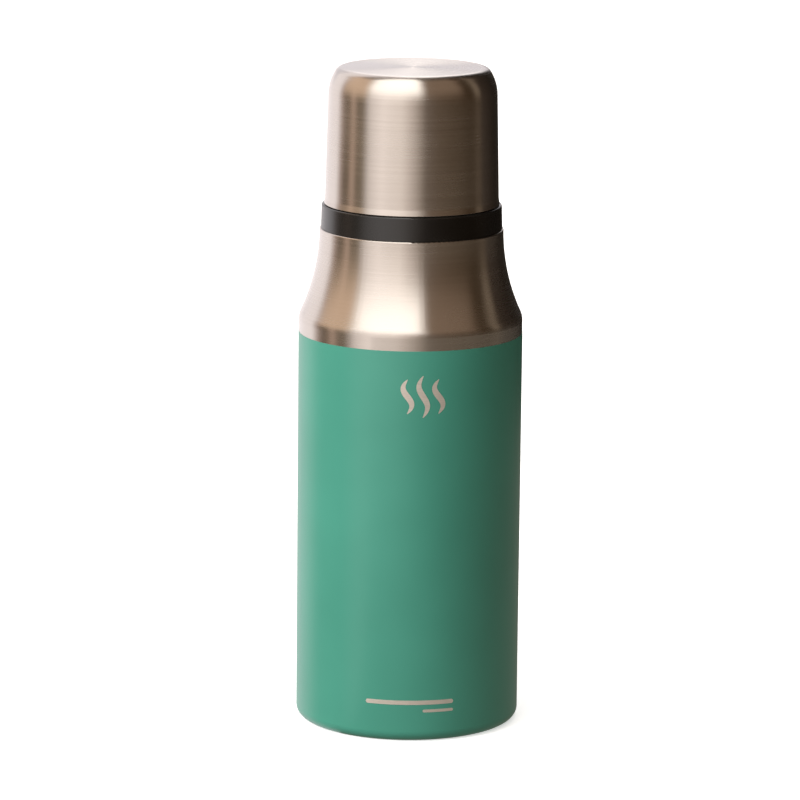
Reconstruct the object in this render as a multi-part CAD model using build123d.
from build123d import *
from math import atan2, degrees, sin
import os

# A slim half-litre vacuum flask: a double-walled steel bottle, a press-to-pour screw stopper and
# a screw-on drinking cup. Millimetres. +Z runs up the flask's axis, the origin is the centre of
# the face it stands on, and -Y is the front. Every piece is shown closed and screwed home.

# Outside shape
BODY_R = 39.0
HEIGHT = 230.0
BASE_EDGE_R = 3.7
PAINT_TOP = 137.7
PAINT_STEP = 0.1
SHOULDER_LOW = 142.1
SHOULDER_TOP = 174.1
SHOULDER_TOP_R = 31.9
SHOULDER_ROUND_R = 6.2
SHOULDER_EDGE_R = 0.4
BAND_LOW_R = 31.45
BAND_TOP_R = 31.2
BAND_TOP = 182.4
CUP_LIP_R = 30.45
CUP_LIP_TOP = 184.8
CUP_MOUTH_R = 30.1
CUP_WALL_TOP = (29.1, 224.9)
CUP_WALL_ROUND_R = 15.5
CUP_TOP_R = 26.0
CUP_TOP_ROUND_R = 3.0
CUP_LIP_ROUND_R = 3.0
CUP_RIM_ROUND_R = 0.2

# Where the cup's outline leans, a corner of its inside moves by this share of the sheet's thickness
WALL_TOP_MITRE = 0.28
TOP_MITRE = 0.57

# Pressed steel walls and the vacuum space between them
STEEL = 0.5
STANDING_RING_R = 32.0
BASE_RECESS = 2.6
LINER_R = 34.0
LINER_FLOOR = 8.5
LINER_FLOOR_SEAM = 16.0
LINER_CORNER_R = 7.0
FOIL_GAP = 0.1
FOIL = 0.1
LINER_SHOULDER_LOW = 140.0
LINER_SHOULDER_TOP = 171.0
LINER_ROUND_R = 14.0
NECK_R = 24.7
MOUTH_R = 22.6
NECK_TOP = 198.0

# Bottom: the evacuation hole in its dimple, the bead that closes it, and the cover plate
DIMPLE_R = 7.0
DIMPLE_RISE = 1.5
VENT_R = 1.2
BEAD_R = 3.0
BEAD_DROP = 0.9
BEAD_PROUD = 0.2
BASE_PLATE_R = 30.8
BASE_PLATE = 0.8

# Getter and its clip
GETTER_X = 18.0
GETTER_R = 4.0
GETTER_HEIGHT = 2.0
CLIP_GAUGE = 0.3
CLIP_WIDTH = 5.0
CLIP_HEIGHT = 2.4

# Two-start threads: the cup and the stopper share one lead
THREAD_LEAD = 8.0
THREAD_STARTS = 2
THREAD_ROOT_WIDTH = 2.4
THREAD_CREST_WIDTH = 1.2
THREAD_SINK = 0.25
CUP_THREAD = (185.6, 194.4)
STOPPER_THREAD = (176.5, 191.5)

# Collar
PLASTIC = 1.4
COLLAR_BORE_R = 24.8
SPIGOT_R = 26.2
SPIGOT_TOP = 196.5
SPIGOT_THREAD_R = 27.5
BAND_WALL = 2.0
BAND_ROOF = 2.5

# Cup
CUP_GAP = 0.2
CUP_RING_GAP = 0.1
CUP_DRAFT = 0.4
CUP_THREAD_BORE_R = 27.9
CUP_THREAD_CREST_R = 26.6
CUP_BORE_R = 25.4
CUP_WEB_LOW = 197.7
CUP_WEB_TOP = 199.2
CUP_LINER_TOP = 228.5
CUP_LINER_CORNER_R = 7.0
CUP_PAD_R = 6.0

# Stopper
PLUG_R = 21.2
PLUG_THREAD_R = 22.3
MOUTH_THREAD_R = 21.6
PLUG_WALL = 1.6
PLUG_LOW = 171.5
FLANGE_LOW = 200.1
FLANGE_TOP = 202.0
HEAD_R = 24.3
HEAD_TOP = 212.5
HEAD_FLUTES = 24
HEAD_WALL = 1.7
HEAD_REBATE = 0.6
FLUTE_R = 1.2
FLUTE_OUTSET = 0.7
SPOUT = (15.0, 8.0, 4.5)
POUR_TUBE_R = 8.5
GUIDE_R = 5.2
GUIDE_HEIGHT = 5.0
GUIDE_ARM = 1.6
STEM_R = 2.5
STEM_CLEARANCE = 0.1
COVER_LOW = 210.0
COVER_TOP = 212.2
PLUG_LAP = 1.5
SNAP_HEIGHT = 3.0
SNAP_GAP = 0.1
SEAT_Z = 168.9
VALVE_R = 11.0
VALVE_LOW = 165.0
VALVE_SEAL = 1.5
BUTTON_R = 11.0
BUTTON_WALL = 1.2
BUTTON_CROWN = 0.6
BUTTON_BOSS = 4.0
BUTTON_BOSS_WALL = 0.8
BUTTON_CLEARANCE = 0.3
BUTTON_LOW = 206.5
BUTTON_TOP = 215.5
BUTTON_ROOF = 213.7
SPRING_R = 4.2
SPRING_WIRE = 0.9
SPRING_TURNS = 6


def turned(outline):
    """The solid that a closed outline of (radius, height) edges sweeps about the axis."""
    return revolve(Plane.XZ * make_face(outline), Axis.Z)


def turned_corners(*corners):
    """A turned solid from its corners, each a (radius, height, rounding)."""
    points = [(radius, height) for radius, height, rounding in corners]
    roundings = [rounding for radius, height, rounding in corners]
    return turned(FilletPolyline(*points, radius=roundings, close=True).edges())


def tube(bore_r, outer_r, low, high):
    """A plain ring round the axis."""
    return turned_corners((bore_r, low, 0), (outer_r, low, 0), (outer_r, high, 0), (bore_r, high, 0))


def shoulder_curve(low_r, low_z, high_r, high_z, round_r, inset):
    """The two arcs of a bottle's shoulder, moved inwards by inset: a round, then a hollow that
    ends upright."""
    turn = 2 * atan2(low_r - high_r, high_z - low_z)
    hollow_r = (high_z - low_z) / sin(turn) - round_r
    lower = CenterArc((low_r - round_r, low_z), round_r - inset, 0, degrees(turn))
    upper = CenterArc((high_r + hollow_r, high_z), hollow_r + inset, 180, degrees(turn))
    return [lower, upper]


def thread(root_r, crest_r, span, turned_by):
    """The ribs of a two-start right-hand thread, sunk a little into the wall they stand on."""
    low, high = span
    sunk_r = root_r - THREAD_SINK if crest_r > root_r else root_r + THREAD_SINK
    half_root = THREAD_ROOT_WIDTH / 2
    half_crest = THREAD_CREST_WIDTH / 2
    corners = [(sunk_r, -half_root), (crest_r, -half_crest), (crest_r, half_crest), (sunk_r, half_root)]
    section = Plane.XZ * make_face(Polyline(*corners, close=True))
    helix = Helix(pitch=THREAD_LEAD, height=high - low, radius=root_r)
    rib = sweep(section, path=helix, is_frenet=True)
    turns = [turned_by + 360 / THREAD_STARTS * start for start in range(THREAD_STARTS)]
    return [Pos(0, 0, low) * Rot(0, 0, turn) * rib for turn in turns]


# Bottle ------------------------------------------------------------------------------------------

def outer_body():
    """The painted tube, rolled in under its edge to the ring that the flask stands on."""
    inner_r = BODY_R - STEEL
    return turned_corners(
        (BODY_R, PAINT_TOP, 0),
        (BODY_R, 0, BASE_EDGE_R),
        (STANDING_RING_R, 0, 0),
        (STANDING_RING_R, STEEL, 0),
        (inner_r, STEEL, BASE_EDGE_R - STEEL),
        (inner_r, PAINT_TOP, 0),
    )


def shoulder():
    """The bare upper pressing: a short skirt, the shoulder's curve, a ledge and the outer neck."""
    skirt_r = BODY_R - PAINT_STEP
    curve_top = SHOULDER_TOP - SHOULDER_EDGE_R
    ledge_r = SHOULDER_TOP_R - SHOULDER_EDGE_R
    inner_top_r = SHOULDER_TOP_R - STEEL
    curve = (skirt_r, SHOULDER_LOW, SHOULDER_TOP_R, curve_top, SHOULDER_ROUND_R)
    neck = [
        (ledge_r, SHOULDER_TOP),
        (NECK_R, SHOULDER_TOP),
        (NECK_R, NECK_TOP),
        (NECK_R - STEEL, NECK_TOP),
        (NECK_R - STEEL, curve_top),
        (inner_top_r, curve_top),
    ]
    skirt = [
        (skirt_r - STEEL, SHOULDER_LOW),
        (skirt_r - STEEL, PAINT_TOP),
        (skirt_r, PAINT_TOP),
        (skirt_r, SHOULDER_LOW),
    ]
    outline = shoulder_curve(*curve, 0) + shoulder_curve(*curve, STEEL)
    outline += [CenterArc((ledge_r, curve_top), SHOULDER_EDGE_R, 0, 90), Polyline(*neck), Polyline(*skirt)]
    return turned(outline)


def outer_base():
    """The recessed bottom pressing, with a raised dimple round the evacuation hole."""
    disc_top = BASE_RECESS + STEEL
    return turned_corners(
        (STANDING_RING_R, 0, 0),
        (STANDING_RING_R, disc_top, 1.0),
        (DIMPLE_R, disc_top, 0.6),
        (DIMPLE_R - DIMPLE_RISE, disc_top + DIMPLE_RISE, 0.6),
        (VENT_R, disc_top + DIMPLE_RISE, 0),
        (VENT_R, BASE_RECESS + DIMPLE_RISE, 0),
        (DIMPLE_R - DIMPLE_RISE, BASE_RECESS + DIMPLE_RISE, 0.6),
        (DIMPLE_R, BASE_RECESS, 0.6),
        (STANDING_RING_R - STEEL, BASE_RECESS, 0.5),
        (STANDING_RING_R - STEEL, 0, 0),
    )


def evacuation_seal():
    """The bead that closes the evacuation hole from below."""
    underside = BASE_RECESS + DIMPLE_RISE
    bead_top = underside + STEEL + BEAD_PROUD
    return turned_corners(
        (0, underside - BEAD_DROP, 0),
        (BEAD_R, underside - BEAD_DROP, 0.6),
        (BEAD_R, underside, 0),
        (VENT_R, underside, 0),
        (VENT_R, bead_top, 0.3),
        (0, bead_top, 0),
    )


def base_cover():
    """The plate glued into the bottom recess, over the evacuation dimple."""
    return turned_corners(
        (0, BASE_RECESS - BASE_PLATE, 0),
        (BASE_PLATE_R, BASE_RECESS - BASE_PLATE, 0.4),
        (BASE_PLATE_R, BASE_RECESS, 0),
        (0, BASE_RECESS, 0),
    )


def getter_clip():
    """A folded strip, spot-welded inside the base, that holds the getter by two sides."""
    floor_z = BASE_RECESS + STEEL
    width = 2 * GETTER_R + 2 * CLIP_GAUGE
    strip = Pos(GETTER_X, 0, floor_z + CLIP_GAUGE / 2) * Box(width, CLIP_WIDTH, CLIP_GAUGE)
    for side in (-1, 1):
        wing_x = GETTER_X + side * (GETTER_R + CLIP_GAUGE / 2)
        strip += Pos(wing_x, 0, floor_z + CLIP_HEIGHT / 2) * Box(CLIP_GAUGE, CLIP_WIDTH, CLIP_HEIGHT)
    return strip


def getter():
    """The pellet that keeps the vacuum clean."""
    low = BASE_RECESS + STEEL + CLIP_GAUGE
    return Pos(GETTER_X, 0, low + GETTER_HEIGHT / 2) * Cylinder(GETTER_R, GETTER_HEIGHT)


def inner_liner():
    """The inner wall, from the floor's seam up to the shoulder's seam."""
    return tube(LINER_R - STEEL, LINER_R, LINER_FLOOR_SEAM, LINER_SHOULDER_LOW)


def liner_neck():
    """The inner shoulder and threaded mouth, with a rim that laps the outer neck."""
    throat_r = MOUTH_R + STEEL
    rim_top = NECK_TOP + STEEL
    curve = (LINER_R, LINER_SHOULDER_LOW, throat_r, LINER_SHOULDER_TOP, LINER_ROUND_R)
    mouth = [
        (throat_r, LINER_SHOULDER_TOP),
        (throat_r, NECK_TOP),
        (NECK_R, NECK_TOP),
        (NECK_R, rim_top),
        (MOUTH_R, rim_top),
        (MOUTH_R, LINER_SHOULDER_TOP),
    ]
    seam = Line((LINER_R - STEEL, LINER_SHOULDER_LOW), (LINER_R, LINER_SHOULDER_LOW))
    outline = shoulder_curve(*curve, 0) + shoulder_curve(*curve, STEEL) + [Polyline(*mouth), seam]
    return turned(outline) + thread(MOUTH_R, MOUTH_THREAD_R, STOPPER_THREAD, 90)


def liner_base():
    """The inner bottom, a shallow pan welded to the liner's wall."""
    return turned_corners(
        (0, LINER_FLOOR, 0),
        (LINER_R, LINER_FLOOR, LINER_CORNER_R),
        (LINER_R, LINER_FLOOR_SEAM, 0),
        (LINER_R - STEEL, LINER_FLOOR_SEAM, 0),
        (LINER_R - STEEL, LINER_FLOOR + STEEL, LINER_CORNER_R - STEEL),
        (0, LINER_FLOOR + STEEL, 0),
    )


def radiation_foil():
    """The thin foil wrapped round the liner inside the vacuum."""
    foil_r = LINER_R + FOIL_GAP
    return tube(foil_r, foil_r + FOIL, LINER_FLOOR_SEAM + 1, LINER_SHOULDER_LOW - 2)


def neck_collar():
    """The band between shoulder and cup, with the threaded spigot that the cup screws on to."""
    roof_low = BAND_TOP - BAND_ROOF
    collar = turned_corners(
        (COLLAR_BORE_R, SHOULDER_TOP, 0),
        (SPIGOT_R, SHOULDER_TOP, 0),
        (SPIGOT_R, roof_low, 0.8),
        (BAND_TOP_R - BAND_WALL, roof_low, 0.8),
        (BAND_TOP_R - BAND_WALL, SHOULDER_TOP, 0),
        (BAND_LOW_R, SHOULDER_TOP, 0.2),
        (BAND_TOP_R, BAND_TOP, 0.5),
        (SPIGOT_R, BAND_TOP, 0.5),
        (SPIGOT_R, SPIGOT_TOP, 0.3),
        (COLLAR_BORE_R, SPIGOT_TOP, 0.2),
    )
    return collar + thread(SPIGOT_R, SPIGOT_THREAD_R, CUP_THREAD, 0)


# Stopper -----------------------------------------------------------------------------------------

def stopper_body():
    """The threaded plug and fluted head, moulded with the pour tube and the stem's guide."""
    plug_bore_r = PLUG_R - PLUG_WALL
    tube_r = POUR_TUBE_R + PLASTIC
    head_bore_r = HEAD_R - HEAD_WALL
    body = tube(plug_bore_r, PLUG_R, PLUG_LOW, FLANGE_LOW)
    body += tube(POUR_TUBE_R, tube_r, PLUG_LOW, FLANGE_LOW)
    body += turned_corners(
        (POUR_TUBE_R, FLANGE_LOW, 0),
        (HEAD_R, FLANGE_LOW, 0.4),
        (HEAD_R, HEAD_TOP, 0.5),
        (head_bore_r + HEAD_REBATE, HEAD_TOP, 0),
        (head_bore_r + HEAD_REBATE, COVER_LOW, 0),
        (head_bore_r, COVER_LOW, 0),
        (head_bore_r, FLANGE_TOP, 0.6),
        (POUR_TUBE_R, FLANGE_TOP, 0),
    )
    guide_z = FLANGE_TOP - GUIDE_HEIGHT / 2
    arm_length = POUR_TUBE_R + PLASTIC / 2
    arm = Pos(arm_length / 2, 0, guide_z) * Box(arm_length, GUIDE_ARM, GUIDE_HEIGHT)
    body += [Rot(0, 0, 120 * index) * arm for index in range(3)]
    body += Pos(0, 0, guide_z) * Cylinder(GUIDE_R, GUIDE_HEIGHT)
    body -= Pos(0, 0, guide_z) * Cylinder(STEM_R + STEM_CLEARANCE, GUIDE_HEIGHT)
    body += thread(PLUG_R, PLUG_THREAD_R, STOPPER_THREAD, 0)
    flute_low = FLANGE_TOP + 1.5
    flute = Cylinder(FLUTE_R, HEAD_TOP - flute_low, align=(Align.CENTER, Align.CENTER, Align.MIN))
    flute_spots = PolarLocations(HEAD_R + FLUTE_OUTSET, HEAD_FLUTES)
    body -= [spot * Pos(0, 0, flute_low) * flute for spot in flute_spots]
    return body - Pos(0, -HEAD_R, FLANGE_TOP + 1 + SPOUT[2] / 2) * Box(*SPOUT)


def stopper_plug():
    """The snap-in lower closure, whose lip is the valve's seat."""
    skirt_r = PLUG_R - PLUG_WALL - SNAP_GAP
    return turned_corners(
        (POUR_TUBE_R, SEAT_Z, 0.2),
        (POUR_TUBE_R + PLASTIC, SEAT_Z, 0.2),
        (POUR_TUBE_R + PLASTIC, PLUG_LOW - PLUG_LAP, 0),
        (PLUG_R, PLUG_LOW - PLUG_LAP, 0.8),
        (PLUG_R, PLUG_LOW, 0),
        (skirt_r, PLUG_LOW, 0),
        (skirt_r, PLUG_LOW + SNAP_HEIGHT, 0.3),
        (skirt_r - PLASTIC, PLUG_LOW + SNAP_HEIGHT, 0.3),
        (skirt_r - PLASTIC, PLUG_LOW, 0),
        (POUR_TUBE_R, PLUG_LOW, 0),
    )


def stopper_foam():
    """The foam ring sealed in the plug's hollow wall."""
    bore_r = POUR_TUBE_R + PLASTIC + SNAP_GAP
    return tube(bore_r, PLUG_R - PLUG_WALL - SNAP_GAP, PLUG_LOW + SNAP_HEIGHT, FLANGE_LOW)


def stopper_gasket():
    """The silicone ring clamped between the stopper's flange and the bottle's rim."""
    rim_top = NECK_TOP + STEEL
    bore_r = PLUG_R + 0.2
    return turned_corners(
        (bore_r, rim_top, 0),
        (HEAD_R, rim_top, 0.2),
        (HEAD_R, FLANGE_LOW, 0.2),
        (bore_r, FLANGE_LOW, 0),
    )


def stopper_cover():
    """The lid of the stopper's head, with the tube that guides the button."""
    plate_r = HEAD_R - HEAD_WALL + HEAD_REBATE - SNAP_GAP
    bore_r = BUTTON_R + BUTTON_CLEARANCE
    guide_low = COVER_LOW - SNAP_HEIGHT
    return turned_corners(
        (bore_r, guide_low, 0),
        (bore_r + BUTTON_WALL, guide_low, 0),
        (bore_r + BUTTON_WALL, COVER_LOW, 0.4),
        (plate_r, COVER_LOW, 0),
        (plate_r, COVER_TOP, 0.3),
        (bore_r, COVER_TOP, 0.5),
    )


def button():
    """The hollow press button, with the boss that grips the stem."""
    inner_r = BUTTON_R - BUTTON_WALL
    boss_r = STEM_R + BUTTON_BOSS_WALL
    boss_low = BUTTON_ROOF - BUTTON_BOSS
    return turned_corners(
        (BUTTON_R, BUTTON_LOW, 0.2),
        (BUTTON_R, BUTTON_TOP - BUTTON_CROWN, 1.2),
        (0, BUTTON_TOP, 0),
        (0, BUTTON_ROOF, 0),
        (STEM_R, BUTTON_ROOF, 0),
        (STEM_R, boss_low, 0),
        (boss_r, boss_low, 0.2),
        (boss_r, BUTTON_ROOF, 0),
        (inner_r, BUTTON_ROOF, 0.5),
        (inner_r, BUTTON_LOW, 0.2),
    )


def button_spring():
    """The coil that pushes the button and valve back up."""
    low = FLANGE_TOP + SPRING_WIRE / 2
    height = BUTTON_ROOF - FLANGE_TOP - SPRING_WIRE
    helix = Helix(pitch=height / SPRING_TURNS, height=height, radius=SPRING_R)
    wire = Plane.XZ * Pos(SPRING_R, 0) * Circle(SPRING_WIRE / 2)
    return Pos(0, 0, low) * sweep(wire, path=helix, is_frenet=True)


def valve_stem():
    """The rod that carries the button's push down to the valve."""
    height = BUTTON_ROOF - VALVE_LOW
    return Pos(0, 0, VALVE_LOW + height / 2) * Cylinder(STEM_R, height)


def valve_head():
    """The disc at the foot of the stem."""
    return turned_corners(
        (STEM_R, VALVE_LOW, 0),
        (VALVE_R, VALVE_LOW, 0.8),
        (VALVE_R, SEAT_Z - VALVE_SEAL, 0),
        (STEM_R, SEAT_Z - VALVE_SEAL, 0),
    )


def valve_seal():
    """The silicone ring that the valve head presses up against its seat."""
    bore_r = POUR_TUBE_R - VALVE_SEAL
    return turned_corners(
        (bore_r, SEAT_Z - VALVE_SEAL, 0),
        (VALVE_R, SEAT_Z - VALVE_SEAL, 0),
        (VALVE_R, SEAT_Z, 0.3),
        (bore_r, SEAT_Z, 0.3),
    )


# Cup ---------------------------------------------------------------------------------------------

def cup_shell():
    """The brushed outer cup: a lip that flares a little, a wall that leans in, and a rounded top edge."""
    low = BAND_TOP + CUP_GAP
    wall_r, wall_top = CUP_WALL_TOP
    return turned_corners(
        (CUP_LIP_R, low, CUP_RIM_ROUND_R),
        (CUP_MOUTH_R, CUP_LIP_TOP, CUP_LIP_ROUND_R),
        (wall_r, wall_top, CUP_WALL_ROUND_R),
        (CUP_TOP_R, HEIGHT, CUP_TOP_ROUND_R),
        (0, HEIGHT, 0),
        (0, HEIGHT - STEEL, 0),
        (CUP_TOP_R - TOP_MITRE * STEEL, HEIGHT - STEEL, CUP_TOP_ROUND_R - STEEL),
        (wall_r - STEEL, wall_top - WALL_TOP_MITRE * STEEL, CUP_WALL_ROUND_R - STEEL),
        (CUP_MOUTH_R - STEEL, CUP_LIP_TOP, CUP_LIP_ROUND_R + STEEL),
        (CUP_LIP_R - STEEL, low, CUP_RIM_ROUND_R),
    )


def cup_thread_ring():
    """The threaded ring pressed into the cup's mouth, with a web that narrows it to the inner cup."""
    low = BAND_TOP + CUP_GAP
    skirt_r = CUP_MOUTH_R - STEEL - CUP_RING_GAP
    ring = turned_corners(
        (CUP_THREAD_BORE_R, low, 0.3),
        (CUP_LIP_R - STEEL - CUP_RING_GAP, low, 0.3),
        (skirt_r, CUP_LIP_TOP, 0),
        (skirt_r - CUP_DRAFT, CUP_WEB_TOP, 0.3),
        (CUP_BORE_R, CUP_WEB_TOP, 0),
        (CUP_BORE_R, CUP_WEB_LOW, 0.3),
        (CUP_THREAD_BORE_R, CUP_WEB_LOW, 0),
    )
    return ring + thread(CUP_THREAD_BORE_R, CUP_THREAD_CREST_R, CUP_THREAD, 90)


def cup_liner():
    """The moulded inner cup, which stands on the ring's web and leaves an air gap to the shell."""
    outer_r = CUP_BORE_R + PLASTIC
    return turned_corners(
        (CUP_BORE_R, CUP_WEB_TOP, 0),
        (outer_r, CUP_WEB_TOP, 0),
        (outer_r - CUP_DRAFT, CUP_LINER_TOP, CUP_LINER_CORNER_R),
        (CUP_PAD_R, CUP_LINER_TOP, 0),
        (CUP_PAD_R, HEIGHT - STEEL, 0),
        (0, HEIGHT - STEEL, 0),
        (0, CUP_LINER_TOP - PLASTIC, 0),
        (CUP_BORE_R - CUP_DRAFT, CUP_LINER_TOP - PLASTIC, CUP_LINER_CORNER_R - PLASTIC),
    )


def cup_gasket():
    """The soft ring under the cup's step, which beds on the top of the spigot."""
    return tube(CUP_BORE_R, CUP_THREAD_BORE_R - 0.3, SPIGOT_TOP, CUP_WEB_LOW)


SUB_PARTS = [
    outer_body, shoulder, outer_base, evacuation_seal, base_cover, getter_clip, getter,
    inner_liner, liner_neck, liner_base, radiation_foil, neck_collar,
    stopper_body, stopper_plug, stopper_foam, stopper_gasket, stopper_cover,
    button, button_spring, valve_stem, valve_head, valve_seal,
    cup_shell, cup_thread_ring, cup_liner, cup_gasket,
]

os.makedirs("parts", exist_ok=True)
for sub_part in SUB_PARTS:
    export_step(sub_part(), f"parts/{sub_part.__name__}.step")
